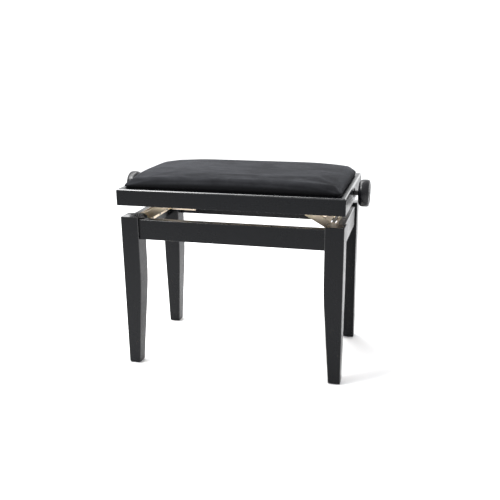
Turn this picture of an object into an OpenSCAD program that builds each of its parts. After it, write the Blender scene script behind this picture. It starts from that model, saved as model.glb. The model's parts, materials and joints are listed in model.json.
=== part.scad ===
// Height-adjustable piano bench: a mitred seat frame with a drop-in velvet cushion, lifted
// off a four-legged base by a pair of sheet-steel linkages and one cross spindle.
// Units are millimetres. The origin is on the floor at the middle of the footprint.
// +X runs along the spindle, -Y is the front, +Z is up. The seat is drawn at its middle height.

/* [Seat frame] */
// Width of the seat frame, left to right
seat_w = 550; // [520:1:620]
// Depth of the seat frame, front to back
seat_d = 337; // [320:1:380]
// Height of the seat frame mouldings
frame_h = 40; // [38:1:46]
// Thickness of the seat frame mouldings
frame_t = 22; // [20:1:26]
// Height of the frame's underside above the floor, with the arms at rest
frame_z = 418; // [416:1:424]
// Rounding along the frame's outer top edge
edge_r = 3; // [2:0.5:5]

/* [Cushion] */
// Rebate that the seat board drops into: width of its ledge
rebate_w = 8; // [6:1:10]
// Rebate that the seat board drops into: its depth
rebate_h = 6; // [5:0.5:6]
// Thickness of the plywood seat board
board_t = 10; // [8:1:12]
// Height of the cushion's edge above the frame
cushion_edge = 21; // [14:1:26]
// Extra height of the cushion in its middle
cushion_crown = 13; // [6:1:18]
// Thickness of the velvet with its lining
velvet_t = 1.2; // [0.8:0.1:1.6]

/* [Base] */
// Width over the legs, left to right
base_w = 545; // [515:1:610]
// Depth over the legs, front to back
base_d = 318; // [300:1:360]
// Height of the legs
leg_h = 388; // [384:1:388]
// Side of the leg at its top
leg_top = 45; // [42:1:50]
// Side of the leg at the floor
leg_foot = 29.5; // [26:0.5:34]
// Height where the leg's taper begins
taper_top = 262; // [250:2:280]
// Height where the taper's curve turns into its straight
taper_low = 186; // [160:2:200]
// Height of the rails
rail_h = 50; // [46:1:56]
// Thickness of the rails
rail_t = 20; // [18:1:22]
// Distance of the rails' outer faces behind the legs' faces
rail_set = 5; // [3:0.5:6]
// Distance of the rails' upper edges below the tops of the legs
rail_drop = 6; // [5:1:8]
// Thickness of the floor glides
glide_t = 2; // [1:0.5:4]

/* [Linkage] */
// Angle of the lifting arms above level, at rest
arm_angle = 29.5; // [27:0.5:32]
// Height of the spindle's axis above the underside of the seat frame
spindle_up = 20.5; // [20:0.5:21]
// Height of the spindle's axis above the base pivot, at rest
lift_h = 62.5; // [60:0.5:65]
// Distance of the base pivots from the middle of the bench
pivot_x = 234; // [230:1:236]
// Thickness of the sheet steel
sheet_t = 2.5; // [2:0.5:2.5]
// Diameter of the pivot pins
pin_d = 8; // [6:1:8]

/* [Spindle and knobs] */
// Diameter of the spindle
spindle_d = 12; // [10:1:12]
// Average pitch of the spindle's two threads
thread_pitch = 4; // [3:0.5:5]
// Diameter of the knobs
knob_d = 67; // [55:1:70]
// Thickness of the knobs
knob_t = 26; // [20:1:30]
// Distance of the knobs from the seat frame
knob_gap = 11; // [8:1:16]

/* [Hidden] */
$fn = 64;

LEFT = -1;
RIGHT = 1;
FRONT = -1;
REAR = 1;
ENDS = [-1, 1];

// Clearances: faces that only sit beside each other, a running pin, and the pivot left open
face_gap = 0.2;
run_gap = 0.06;
open_gap = 0.3;
eps = 0.5;

// Seat frame heights
frame_top = frame_z + frame_h;
ledge_z = frame_top - rebate_h;
spindle_z = frame_z + spindle_up;

// Base heights and places
rail_z = leg_h - rail_drop - rail_h;
rail_x = base_w / 2 - rail_set - rail_t / 2;
rail_y = base_d / 2 - rail_set - rail_t / 2;
rail_in_x = rail_x - rail_t / 2;
between_x = base_w / 2 - leg_top;
between_y = base_d / 2 - leg_top;

// Linkage: the base pivot, the middle pivot, the nut pivot and the seat pivot of one side
base_pivot_z = spindle_z - lift_h;
arm_l = lift_h / sin(arm_angle);
half_l = arm_l / 2;
nut_x = pivot_x - arm_l * cos(arm_angle);
mid_x = (pivot_x + nut_x) / 2;
mid_z = (base_pivot_z + spindle_z) / 2;

// Arm angles at the ends of the travel, which set the length of the nut slots
swing_down = 13.5;
swing_up = 32.5;
slot_spare = 1;
slot_in = pivot_x - arm_l * cos(arm_angle - swing_down) - slot_spare;
slot_out = pivot_x - arm_l * cos(arm_angle + swing_up) + slot_spare;

// Lanes across the depth: the outer face of each layer of sheet steel
lane_bracket = 99.5;
lane_arm = lane_bracket - sheet_t - 1;
lane_link = lane_arm - sheet_t - 1;
nut_half = lane_link - sheet_t - 0.5;

// Heights of the flanges above and below the line of their pivots
arm_up = 8;
arm_down = 10.5;
link_up = 7.5;
link_down = 8;

// Pins
pin_r = pin_d / 2;
head_t = 2;
head_r = 6;

// Spindle
spindle_r = spindle_d / 2;
knob_x = seat_w / 2 + knob_gap;

// Screws
screw_r = 2;
screw_hole_r = screw_r + face_gap / 4;
screw_head_r = 4;
screw_head_h = 1.8;
cross_l = 4.4;
cross_w = 0.8;

black_wood = [0.16, 0.165, 0.18];
raw_wood = [0.75, 0.62, 0.45];
velvet = [0.08, 0.08, 0.085];
foam = [0.85, 0.8, 0.6];
yellow_zinc = [0.78, 0.72, 0.6];
zinc = [0.7, 0.71, 0.72];
black_plastic = [0.09, 0.09, 0.1];
black_steel = [0.13, 0.13, 0.14];

// ---- helpers -------------------------------------------------------------------------

// Puts a right-hand piece on the left by mirroring it.
module on_side(side) {
    if (side == LEFT) mirror([1, 0, 0]) children();
    else children();
}

// Extrudes an outline drawn in the X-Z plane from y0 to y1.
module slab_y(y0, y1) {
    translate([0, y1, 0]) rotate([90, 0, 0]) linear_extrude(y1 - y0) children();
}

// Extrudes an outline drawn in the Y-Z plane from x0 to x1.
module slab_x(x0, x1) {
    translate([x0, 0, 0]) rotate([90, 0, 90]) linear_extrude(x1 - x0) children();
}

// Rod along Y at (x, z), from y0 to y1.
module rod_y(x, z, r, y0, y1) {
    translate([x, y0, z]) rotate([-90, 0, 0]) cylinder(r = r, h = y1 - y0);
}

// Rod along X at (y, z), from x0 to x1.
module rod_x(y, z, r, x0, x1) {
    translate([x0, y, z]) rotate([0, 90, 0]) cylinder(r = r, h = x1 - x0);
}

// Rectangle with round corners, centred.
module round_rect(w, d, r) {
    square([w - 2 * r, d], center = true);
    square([w, d - 2 * r], center = true);
    for (x = ENDS, y = ENDS) translate([x * (w / 2 - r), y * (d / 2 - r)]) circle(r);
}

// Slot outline from x0 to x1 along X.
module slot_2d(x0, x1, z, r) {
    translate([x0, z - r]) square([x1 - x0, 2 * r]);
    for (x = [x0, x1]) translate([x, z]) circle(r);
}

// Pan-head screw: the head's underside is at the origin and the shank runs along -Z.
module screw(shank_l) {
    translate([0, 0, -shank_l]) cylinder(r = screw_r, h = shank_l);
    difference() {
        rotate_extrude() polygon([
            [0, 0], [screw_head_r, 0], [screw_head_r, 0.6 * screw_head_h],
            [0.7 * screw_head_r, screw_head_h], [0, screw_head_h]
        ]);
        for (a = [0, 90]) rotate(a) translate([-cross_l / 2, -cross_w / 2, screw_head_h / 3])
            cube([cross_l, cross_w, screw_head_h]);
    }
}

// ---- base ----------------------------------------------------------------------------

taper_slope = 2 * (leg_top - leg_foot) / (taper_top + taper_low);

// Side of the leg at height z: straight, then a curve, then a straight taper.
function leg_side(z) =
    z >= taper_top ? leg_top
    : z <= taper_low ? leg_foot + taper_slope * z
    : leg_top - taper_slope * pow(taper_top - z, 2) / (2 * (taper_top - taper_low));

// Outline of a leg seen square on, with its outer face on the axis.
module leg_outline() {
    curve_steps = 10;
    curve = [for (i = [0:curve_steps]) taper_low + (taper_top - taper_low) * i / curve_steps];
    heights = concat([glide_t], curve, [leg_h]);
    polygon(concat([[0, glide_t]], [for (z = heights) [leg_side(z), z]], [[0, leg_h]]));
}

function dowel_heights() = [rail_z + rail_h * 0.26, rail_z + rail_h * 0.74];
dowel_r = 5;
dowel_half = 20;

// Rods at every dowel, each with radius r and reaching half a rod's length each way.
module at_dowels(r, half) {
    for (z = dowel_heights(), x = ENDS, y = ENDS) {
        rod_x(y * rail_y, z, r, x * between_x - half, x * between_x + half);
        rod_y(x * rail_x, z, r, y * between_y - half, y * between_y + half);
    }
}

module leg(side, end) {
    color(black_wood) difference() {
        on_side(side) mirror([0, end == FRONT ? 0 : 1, 0]) intersection() {
            translate([base_w / 2, 0, 0]) mirror([1, 0, 0])
                slab_y(-base_d / 2 - eps, -base_d / 2 + leg_top + eps) leg_outline();
            translate([0, -base_d / 2, 0])
                slab_x(base_w / 2 - leg_top - eps, base_w / 2 + eps) leg_outline();
        }
        at_dowels(dowel_r, dowel_half + face_gap);
    }
}

module leg_front_left() { leg(LEFT, FRONT); }
module leg_front_right() { leg(RIGHT, FRONT); }
module leg_rear_left() { leg(LEFT, REAR); }
module leg_rear_right() { leg(RIGHT, REAR); }

module long_rail(end) {
    color(black_wood) difference() {
        translate([-between_x, end * rail_y - rail_t / 2, rail_z])
            cube([2 * between_x, rail_t, rail_h]);
        at_dowels(dowel_r, dowel_half + face_gap);
    }
}

module side_rail(side) {
    color(black_wood) difference() {
        translate([side * rail_x - rail_t / 2, -between_y, rail_z])
            cube([rail_t, 2 * between_y, rail_h]);
        at_dowels(dowel_r, dowel_half + face_gap);
        at_lower_screws(side) translate([0, 0, -lower_screw_l - face_gap])
            cylinder(r = screw_hole_r, h = lower_screw_l + face_gap + sheet_t);
    }
}

module rail_front() { long_rail(FRONT); }
module rail_rear() { long_rail(REAR); }
module rail_left() { side_rail(LEFT); }
module rail_right() { side_rail(RIGHT); }
module rail_dowels() { color(raw_wood) at_dowels(dowel_r - run_gap, dowel_half); }

module floor_glides() {
    foot_mid = leg_side(glide_t) / 2;
    glide_r = 0.38 * leg_foot;
    color(black_plastic) for (x = ENDS, y = ENDS)
        translate([x * (base_w / 2 - foot_mid), y * (base_d / 2 - foot_mid), 0])
            cylinder(r1 = glide_r - 1, r2 = glide_r, h = glide_t);
}

// ---- lower brackets ------------------------------------------------------------------

bracket_x = rail_in_x - sheet_t;
ear_r = 9;
lip_x = 169;
lip_l = 22;
lower_z0 = rail_z + 18;
lip_z = rail_z + 28;
lower_screw_l = 15;
lower_screw_z = rail_z + 23;
lower_screw_y = [-75, -25, 25, 75];

// Places a child at each screw of one lower bracket, with +Z facing inwards.
module at_lower_screws(side) {
    on_side(side) for (y = lower_screw_y)
        translate([bracket_x, y, lower_screw_z]) rotate([0, -90, 0]) children();
}

module lower_cheek_2d() {
    difference() {
        union() {
            polygon([
                [lip_x, lower_z0], [rail_in_x, lower_z0], [rail_in_x, base_pivot_z + ear_r],
                [pivot_x, base_pivot_z + ear_r], [pivot_x - ear_r, base_pivot_z],
                [lip_x + lip_l, lip_z], [lip_x, lip_z]
            ]);
            translate([pivot_x, base_pivot_z]) circle(ear_r);
        }
        translate([pivot_x, base_pivot_z]) circle(pin_r);
    }
}

module lower_bracket(side) {
    color(yellow_zinc) difference() {
        on_side(side) {
            for (y = ENDS) mirror([0, y == FRONT ? 0 : 1, 0])
                slab_y(-lane_bracket, -lane_bracket + sheet_t) lower_cheek_2d();
            translate([bracket_x, -lane_bracket, lower_z0])
                cube([sheet_t, 2 * lane_bracket, base_pivot_z + ear_r - lower_z0]);
        }
        at_lower_screws(side) translate([0, 0, -sheet_t - eps])
            cylinder(r = screw_hole_r, h = sheet_t + 2 * eps);
    }
}

module lower_bracket_left() { lower_bracket(LEFT); }
module lower_bracket_right() { lower_bracket(RIGHT); }

module lower_bracket_screws() {
    color(zinc) for (side = ENDS) at_lower_screws(side) screw(lower_screw_l);
}

// Pin from cheek to cheek of the lower bracket, with a head at each end.
module base_pin(side) {
    color(zinc) on_side(side) {
        rod_y(pivot_x, base_pivot_z, pin_r, -lane_bracket, lane_bracket);
        rod_y(pivot_x, base_pivot_z, head_r, lane_bracket, lane_bracket + head_t);
        rod_y(pivot_x, base_pivot_z, head_r, -lane_bracket - head_t, -lane_bracket);
    }
}

module base_pin_left() { base_pin(LEFT); }
module base_pin_right() { base_pin(RIGHT); }

// ---- lifting arms and links ----------------------------------------------------------

// Puts a piece drawn along -X from the origin onto the line of the lifting arm.
module along_arm() {
    translate([pivot_x, 0, base_pivot_z]) rotate([0, arm_angle, 0]) children();
}

// Puts a piece drawn along +X from the origin onto the line of the link.
module along_link() {
    translate([mid_x, 0, mid_z]) rotate([0, -arm_angle, 0]) children();
}

// Side flange with a rounded end at each pivot: l between pivots, drawn along +X.
module flange_2d(l, up, down, end_r, foot) {
    translate([0, -end_r]) square([l, end_r + up]);
    translate([foot, -down]) square([l - 2 * foot, down]);
    for (x = [0, l]) translate([x, 0]) circle(end_r);
}

arm_web_start = 6;
arm_web_end = 17;
window_w = 60;
window_in = 22;
window_out = 32;
arm_hole_r = 9;
arm_hole_y = 62;
arm_hole_shares = [0.32, 0.55];

module lift_arm(side) {
    color(yellow_zinc) on_side(side) along_arm() difference() {
        union() {
            for (y = ENDS) mirror([0, y == FRONT ? 0 : 1, 0])
                slab_y(-lane_arm, -lane_arm + sheet_t) mirror([1, 0])
                    flange_2d(arm_l, arm_up, arm_down, arm_up, arm_web_start);
            translate([-arm_l + arm_web_end, -lane_arm, -arm_down])
                cube([arm_l - arm_web_end - arm_web_start, 2 * lane_arm, sheet_t]);
        }
        translate([-arm_l + window_out, -window_w / 2, -arm_down - eps])
            cube([arm_l - window_out - window_in, window_w, sheet_t + 2 * eps]);
        for (y = ENDS, share = arm_hole_shares)
            translate([-share * arm_l, y * arm_hole_y, -arm_down - eps])
                cylinder(r = arm_hole_r, h = sheet_t + 2 * eps);
        rod_y(0, 0, pin_r + run_gap, -lane_arm - eps, lane_arm + eps);
        rod_y(-half_l, 0, pin_r, -lane_arm - eps, lane_arm + eps);
        rod_y(-arm_l, 0, pin_r + run_gap, -lane_arm - eps, lane_arm + eps);
    }
}

module lift_arm_left() { lift_arm(LEFT); }
module lift_arm_right() { lift_arm(RIGHT); }

// Pin through the arm and the link, with a head at each end.
module centre_pin(side) {
    color(zinc) on_side(side) {
        rod_y(mid_x, mid_z, pin_r, -lane_arm, lane_arm);
        rod_y(mid_x, mid_z, head_r, lane_arm, lane_arm + head_t);
        rod_y(mid_x, mid_z, head_r, -lane_arm - head_t, -lane_arm);
    }
}

module centre_pin_left() { centre_pin(LEFT); }
module centre_pin_right() { centre_pin(RIGHT); }

link_web_start = 14;
link_web_end = 9;
link_hole_r = 10;
link_hole_y = [-54, -18, 18, 54];

module link(side) {
    color(yellow_zinc) on_side(side) along_link() difference() {
        union() {
            for (y = ENDS) mirror([0, y == FRONT ? 0 : 1, 0])
                slab_y(-lane_link, -lane_link + sheet_t)
                    flange_2d(half_l, link_up, link_down, link_up, link_web_end);
            translate([link_web_start, -lane_link, -link_down])
                cube([half_l - link_web_start - link_web_end, 2 * lane_link, sheet_t]);
        }
        for (y = link_hole_y)
            translate([(half_l + link_web_start - link_web_end) / 2, y, -link_down - eps])
                cylinder(r = link_hole_r, h = sheet_t + 2 * eps);
        rod_y(0, 0, pin_r + run_gap, -lane_link - eps, lane_link + eps);
        rod_y(half_l, 0, pin_r, -lane_link - eps, lane_link + eps);
    }
}

module link_left() { link(LEFT); }
module link_right() { link(RIGHT); }

// Two short stepped studs, riveted into the link, that turn in the upper bracket.
module seat_studs(side) {
    shoulder_r = pin_r + 1.5;
    color(zinc) on_side(side) for (end = ENDS) mirror([0, end == FRONT ? 1 : 0, 0]) {
        rod_y(pivot_x, spindle_z, pin_r, lane_link - sheet_t, lane_bracket);
        rod_y(pivot_x, spindle_z, head_r, lane_link - sheet_t - head_t, lane_link - sheet_t);
        rod_y(pivot_x, spindle_z, shoulder_r, lane_link, lane_bracket - sheet_t - face_gap);
        rod_y(pivot_x, spindle_z, head_r, lane_bracket + face_gap, lane_bracket + head_t);
        rod_y(pivot_x, spindle_z, pin_r, lane_bracket, lane_bracket + head_t);
    }
}

module seat_studs_left() { seat_studs(LEFT); }
module seat_studs_right() { seat_studs(RIGHT); }

// ---- nut bars ------------------------------------------------------------------------

bar_w = 16;
bar_h = 18;
boss_r = 8.5;
boss_l = 26;
clip_r = 6.5;
clip_t = 1.2;
clip_y = lane_bracket + face_gap;
journal_spare = 3;
clip_mouth = 5;

module nut_bar(side) {
    color(zinc) on_side(side) difference() {
        union() {
            translate([nut_x - bar_w / 2, -nut_half, spindle_z - bar_h / 2])
                cube([bar_w, 2 * nut_half, bar_h]);
            rod_x(0, spindle_z, boss_r, nut_x - boss_l / 2, nut_x + boss_l / 2);
            rod_y(nut_x, spindle_z, pin_r, -clip_y - journal_spare, clip_y + journal_spare);
        }
        rod_x(0, spindle_z, spindle_r + 2 * run_gap, nut_x - boss_l, nut_x + boss_l);
    }
}

module nut_bar_left() { nut_bar(LEFT); }
module nut_bar_right() { nut_bar(RIGHT); }

// Spring clips on the ends of the nut bar, outside the slotted flanges.
module nut_clips(side) {
    color(zinc) on_side(side) for (end = ENDS) mirror([0, end == FRONT ? 1 : 0, 0])
        difference() {
            rod_y(nut_x, spindle_z, clip_r, clip_y, clip_y + clip_t);
            rod_y(nut_x, spindle_z, pin_r, clip_y - eps, clip_y + clip_t + eps);
            translate([nut_x - clip_mouth / 2, clip_y - eps, spindle_z - clip_r - eps])
                cube([clip_mouth, clip_t + 2 * eps, clip_r]);
        }
}

module nut_clips_left() { nut_clips(LEFT); }
module nut_clips_right() { nut_clips(RIGHT); }

// ---- seat frame ----------------------------------------------------------------------

// Cross-section of a moulding: x runs outwards from its inner face, y upwards.
module moulding_2d() {
    difference() {
        union() {
            square([frame_t - edge_r, frame_h]);
            square([frame_t, frame_h - edge_r]);
            translate([frame_t - edge_r, frame_h - edge_r]) circle(edge_r);
        }
        translate([-eps, frame_h - rebate_h]) square([rebate_w + eps, rebate_h + eps]);
    }
}

// Moulding along Y with its outer face at x = reach, mitred for a frame end_half long.
module moulding(reach, end_half) {
    intersection() {
        translate([reach - frame_t, 0, frame_z]) slab_y(-end_half, end_half) moulding_2d();
        translate([0, 0, frame_z - eps]) linear_extrude(frame_h + 2 * eps) polygon([
            [reach + eps, end_half + eps], [reach + eps, -end_half - eps],
            [reach - 2 * frame_t, -end_half + 2 * frame_t],
            [reach - 2 * frame_t, end_half - 2 * frame_t]
        ]);
    }
}

module frame_long(end) {
    color(black_wood) rotate([0, 0, end * 90]) moulding(seat_d / 2, seat_w / 2);
}

module frame_end(side) {
    color(black_wood) difference() {
        on_side(side) moulding(seat_w / 2, seat_d / 2);
        rod_x(0, spindle_z, bush_r, -seat_w, seat_w);
    }
}

module seat_frame_front() { frame_long(FRONT); }
module seat_frame_rear() { frame_long(REAR); }
module seat_frame_left() { frame_end(LEFT); }
module seat_frame_right() { frame_end(RIGHT); }

block_leg = 38;
block_h = 18;
block_snub = 8;
frame_in_x = seat_w / 2 - frame_t;
frame_in_y = seat_d / 2 - frame_t;
board_screw_in = 12;
board_screw_l = block_h + 7;

// Places a child under each corner block, with +Z facing down.
module at_board_screws() {
    for (x = ENDS, y = ENDS)
        translate([
            x * (frame_in_x - board_screw_in), y * (frame_in_y - board_screw_in),
            ledge_z - block_h
        ]) rotate([180, 0, 0]) children();
}

module board_screw_holes() {
    at_board_screws() translate([0, 0, -board_screw_l - face_gap])
        cylinder(r = screw_hole_r, h = board_screw_l + face_gap + eps);
}

module seat_corner_blocks() {
    color(raw_wood) difference() {
        for (x = ENDS, y = ENDS) mirror([x == LEFT ? 1 : 0, 0, 0])
            mirror([0, y == FRONT ? 1 : 0, 0])
            translate([frame_in_x, frame_in_y, ledge_z - block_h]) linear_extrude(block_h)
                polygon([
                    [0, 0], [-block_leg, 0], [-block_leg, -block_snub],
                    [-block_snub, -block_leg], [0, -block_leg]
                ]);
        board_screw_holes();
    }
}

module seat_board_screws() { color(zinc) at_board_screws() screw(board_screw_l); }

// ---- cushion -------------------------------------------------------------------------

board_play = 2.5;
board_w = seat_w - 2 * (frame_t - rebate_w + board_play);
board_d = seat_d - 2 * (frame_t - rebate_w + board_play);
board_r = 16;

module seat_board() {
    color(raw_wood) difference() {
        translate([0, 0, ledge_z]) linear_extrude(board_t) round_rect(board_w, board_d, board_r);
        board_screw_holes();
        at_upper_screws() translate([0, 0, -upper_screw_l - face_gap])
            cylinder(r = screw_hole_r, h = upper_screw_l + face_gap);
    }
}

// Radius of a shallow arch with this rise over this half span.
function arch_r(half, rise) = (half * half + rise * rise) / (2 * rise);

// Block from z0 with rounded corners and a top crowned both ways, grown by g on every side.
module crowned(z0, g) {
    w = board_w + 2 * g;
    d = board_d + 2 * g;
    top = frame_top + cushion_edge + cushion_crown + g - velvet_t;
    across = arch_r(d / 2, cushion_crown);
    along = arch_r(w / 2, cushion_crown);
    intersection() {
        translate([0, 0, z0]) linear_extrude(top - z0 + 1) round_rect(w, d, board_r + g);
        rod_x(0, top - across, across, -w, w, $fn = 200);
        rod_y(0, top - along, along, -d, d, $fn = 200);
    }
}

module cushion_foam() { color(foam) crowned(ledge_z + board_t, 0); }

module cushion_cover() {
    color(velvet) difference() {
        crowned(ledge_z + face_gap, velvet_t);
        crowned(ledge_z - eps, face_gap / 2);
    }
}

// ---- upper brackets ------------------------------------------------------------------

upper_in = 85;
upper_out = 247;
upper_flange_z = spindle_z - 9;
upper_corner_r = 3;
upper_screw_l = 8;
upper_screw_x = [upper_in + 10, upper_out - 12];
upper_screw_y = 70;

// Places a child under each upper bracket screw, with +Z facing down.
module at_upper_screws() {
    for (x = upper_screw_x, y = ENDS, side = ENDS)
        translate([side * x, y * upper_screw_y, ledge_z - sheet_t]) rotate([180, 0, 0]) children();
}

module upper_cheek_2d(stud_hole_r) {
    r = upper_corner_r;
    difference() {
        union() {
            translate([upper_in, upper_flange_z + r])
                square([upper_out - upper_in, ledge_z - upper_flange_z - r]);
            translate([upper_in + r, upper_flange_z])
                square([upper_out - upper_in - 2 * r, ledge_z - upper_flange_z]);
            for (x = [upper_in + r, upper_out - r]) translate([x, upper_flange_z + r]) circle(r);
        }
        slot_2d(slot_in, slot_out, spindle_z, pin_r + face_gap);
        translate([pivot_x, spindle_z]) circle(stud_hole_r);
    }
}

module upper_bracket(side, stud_hole_r) {
    color(yellow_zinc) difference() {
        on_side(side) {
            for (y = ENDS) mirror([0, y == FRONT ? 0 : 1, 0])
                slab_y(-lane_bracket, -lane_bracket + sheet_t) upper_cheek_2d(stud_hole_r);
            translate([upper_in, -lane_bracket, ledge_z - sheet_t])
                cube([upper_out - upper_in, 2 * lane_bracket, sheet_t]);
        }
        at_upper_screws() translate([0, 0, -sheet_t - eps])
            cylinder(r = screw_hole_r, h = sheet_t + 2 * eps);
    }
}

module upper_bracket_left() { upper_bracket(LEFT, pin_r + run_gap); }
module upper_bracket_right() { upper_bracket(RIGHT, pin_r + open_gap); }
module upper_bracket_screws() { color(zinc) at_upper_screws() screw(upper_screw_l); }

// ---- spindle and knobs ---------------------------------------------------------------

bush_r = 9;
bush_flange_r = 11;
bush_flange_t = 1.2;

// Flanged bush through the frame's end, with its flange outside.
module spindle_bush(side) {
    color(black_plastic) on_side(side) difference() {
        union() {
            rod_x(0, spindle_z, bush_r - run_gap / 2, frame_in_x, seat_w / 2);
            rod_x(0, spindle_z, bush_flange_r, seat_w / 2, seat_w / 2 + bush_flange_t);
        }
        rod_x(0, spindle_z, spindle_r + run_gap, frame_in_x - eps, seat_w / 2 + 2);
    }
}

module spindle_bush_left() { spindle_bush(LEFT); }
module spindle_bush_right() { spindle_bush(RIGHT); }

thread_depth = 1.1;
thread_spare = 12;
thread_in = slot_in - thread_spare;
thread_turns = floor((slot_out + thread_spare - thread_in) / thread_pitch);
thread_out = thread_in + thread_turns * thread_pitch;
spindle_end = knob_x + knob_t - 12;

// Half of the spindle's profile from the middle outwards: radius against distance.
// Each thread is drawn as rings, which look the same however far the spindle turns.
module spindle_half_2d() {
    root_r = spindle_r - thread_depth;
    ridges = [for (i = [0:thread_turns - 1]) let (z = thread_in + i * thread_pitch) each [
        [root_r, z], [root_r, z + 0.3 * thread_pitch],
        [spindle_r, z + 0.5 * thread_pitch], [spindle_r, z + 0.8 * thread_pitch]
    ]];
    polygon(concat(
        [[0, 0], [root_r, 0]], ridges,
        [[root_r, thread_out], [spindle_r, thread_out + 1], [spindle_r, spindle_end - 1],
         [spindle_r - 1, spindle_end], [0, spindle_end]]
    ));
}

module spindle() {
    color(black_steel) difference() {
        for (side = ENDS) on_side(side)
            translate([0, 0, spindle_z]) rotate([0, 90, 0]) rotate_extrude() spindle_half_2d();
        for (side = ENDS) on_side(side)
            rod_x(0, spindle_z, knob_screw_r + face_gap / 4, spindle_end - knob_screw_l - 1,
                spindle_end + 1);
        for (side = ENDS) on_side(side) at_collar_screw(face_gap / 4, face_gap);
    }
}

collar_r = 10;
collar_t = 8;
collar_x = frame_in_x - collar_t - face_gap;

// Grub screw of one collar, grown by g on its radius and h on its inner end.
module at_collar_screw(g, h) {
    grub_r = 2;
    translate([collar_x + collar_t / 2, 0, spindle_z + spindle_r - 1.5 - h])
        cylinder(r = grub_r + g, h = collar_r - spindle_r + 1 + h);
}

module spindle_collars() {
    color(black_steel) for (side = ENDS) on_side(side) difference() {
        rod_x(0, spindle_z, collar_r, collar_x, collar_x + collar_t);
        rod_x(0, spindle_z, spindle_r + run_gap / 2, collar_x - eps, collar_x + collar_t + eps);
        at_collar_screw(face_gap / 4, 0);
        translate([0, 0, 1.5]) at_collar_screw(face_gap / 4, 0);
    }
}

module collar_screws() { color(zinc) for (side = ENDS) on_side(side) at_collar_screw(0, 0); }

knob_screw_r = 2.5;
knob_screw_l = 14;
knob_screw_head_r = 5;
knob_screw_head_t = 2;
knob_recess_r = 9;
knob_recess_t = 5;
hub_r = 11;

// Knob profile about its axis: radius against distance from the middle of the bench. The inner
// face has a shallow ring cut into it between the hub and the rim.
module knob_2d() {
    r = knob_d / 2;
    inner_r = 9;
    outer_r = 4;
    ring_depth = 2;
    rim_in = r - inner_r;
    difference() {
        union() {
            translate([0, knob_x]) square([rim_in, knob_t]);
            translate([rim_in, knob_x + inner_r]) circle(inner_r);
            translate([0, knob_x + inner_r]) square([r, knob_t - inner_r - outer_r]);
            translate([0, knob_x + inner_r]) square([r - outer_r, knob_t - inner_r]);
            translate([r - outer_r, knob_x + knob_t - outer_r]) circle(outer_r);
        }
        translate([hub_r, knob_x - eps]) square([rim_in - hub_r - 2, ring_depth + eps]);
    }
}

module knob(side) {
    face = knob_x + knob_t;
    color(black_plastic) on_side(side) difference() {
        translate([0, 0, spindle_z]) rotate([0, 90, 0]) rotate_extrude($fn = 96) knob_2d();
        rod_x(0, spindle_z, spindle_r + run_gap / 2, seat_w / 2, spindle_end + face_gap);
        rod_x(0, spindle_z, knob_screw_r + face_gap, spindle_end - eps, face + eps);
        rod_x(0, spindle_z, knob_recess_r, face - knob_recess_t, face + eps);
    }
}

module knob_left() { knob(LEFT); }
module knob_right() { knob(RIGHT); }

// Screw along the spindle's axis that holds each knob on.
module knob_screws() {
    seat_x = knob_x + knob_t - knob_recess_t;
    color(zinc) for (side = ENDS) on_side(side) {
        rod_x(0, spindle_z, knob_screw_r, spindle_end - knob_screw_l, seat_x);
        rod_x(0, spindle_z, knob_screw_head_r, seat_x, seat_x + knob_screw_head_t);
    }
}

// Domed caps over the screws, a little proud of the knobs' faces.
module knob_caps() {
    cap_r = knob_recess_r - face_gap / 2;
    cap_edge = 2.2;
    cap_t = 3.4;
    inside = knob_x + knob_t - knob_recess_t + knob_screw_head_t + face_gap;
    color(black_plastic) for (side = ENDS) on_side(side)
        translate([inside, 0, spindle_z]) rotate([0, 90, 0]) rotate_extrude() polygon([
            [0, 0], [cap_r, 0], [cap_r, cap_edge], [cap_r - 1, cap_edge + 0.8], [0, cap_t]
        ]);
}

// ---- assembly ------------------------------------------------------------------------

leg_front_left();
leg_front_right();
leg_rear_left();
leg_rear_right();
rail_front();
rail_rear();
rail_left();
rail_right();
rail_dowels();
floor_glides();
lower_bracket_left();
lower_bracket_right();
lower_bracket_screws();
base_pin_left();
base_pin_right();
lift_arm_left();
lift_arm_right();
centre_pin_left();
centre_pin_right();
link_left();
link_right();
seat_studs_left();
seat_studs_right();
nut_bar_left();
nut_bar_right();
nut_clips_left();
nut_clips_right();
seat_frame_front();
seat_frame_rear();
seat_frame_left();
seat_frame_right();
seat_corner_blocks();
seat_board();
seat_board_screws();
cushion_foam();
cushion_cover();
upper_bracket_left();
upper_bracket_right();
upper_bracket_screws();
spindle_bush_left();
spindle_bush_right();
spindle();
spindle_collars();
collar_screws();
knob_left();
knob_right();
knob_screws();
knob_caps();
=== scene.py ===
"""A height-adjustable piano bench: its looks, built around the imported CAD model. In metres."""

import json
import math

import bmesh
import bpy
from mathutils import Matrix, Vector

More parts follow.
